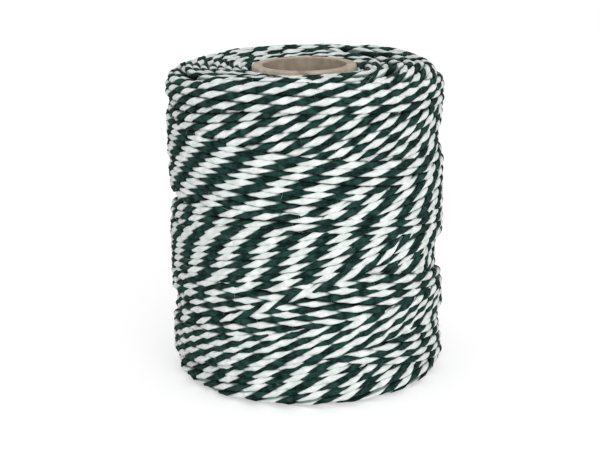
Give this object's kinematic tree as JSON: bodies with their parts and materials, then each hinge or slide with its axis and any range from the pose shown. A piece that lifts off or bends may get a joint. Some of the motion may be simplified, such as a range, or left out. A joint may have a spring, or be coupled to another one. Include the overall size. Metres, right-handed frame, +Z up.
{
  "type": "twine spool",
  "caption": "Spool of two-colour twisted cotton twine, cross-wound on a plain paperboard core tube that slips onto a spindle or stands on its end.",
  "frame": {"origin": "centre of the core tube's lower end, on the plane that the spool stands on", "axes": "+Z up along the core's axis, -Y towards the picture's camera"},
  "size_m": [0.08, 0.08, 0.0915],
  "materials": {
    "paperboard": "matte grey-brown spiral-wound paperboard",
    "twine": "matte twisted cotton, white and dark green together",
    "white_strand": "matte white cotton yarn",
    "green_strand": "matte dark bottle-green cotton yarn"
  },
  "bodies": {
    "root": {"core_tube": "paperboard", "wound_body": "twine", "lower_face_turns": "twine", "lower_side_turns": "twine", "upper_side_turns": "twine", "upper_face_turns": "twine"}
  },
  "joints": []
}
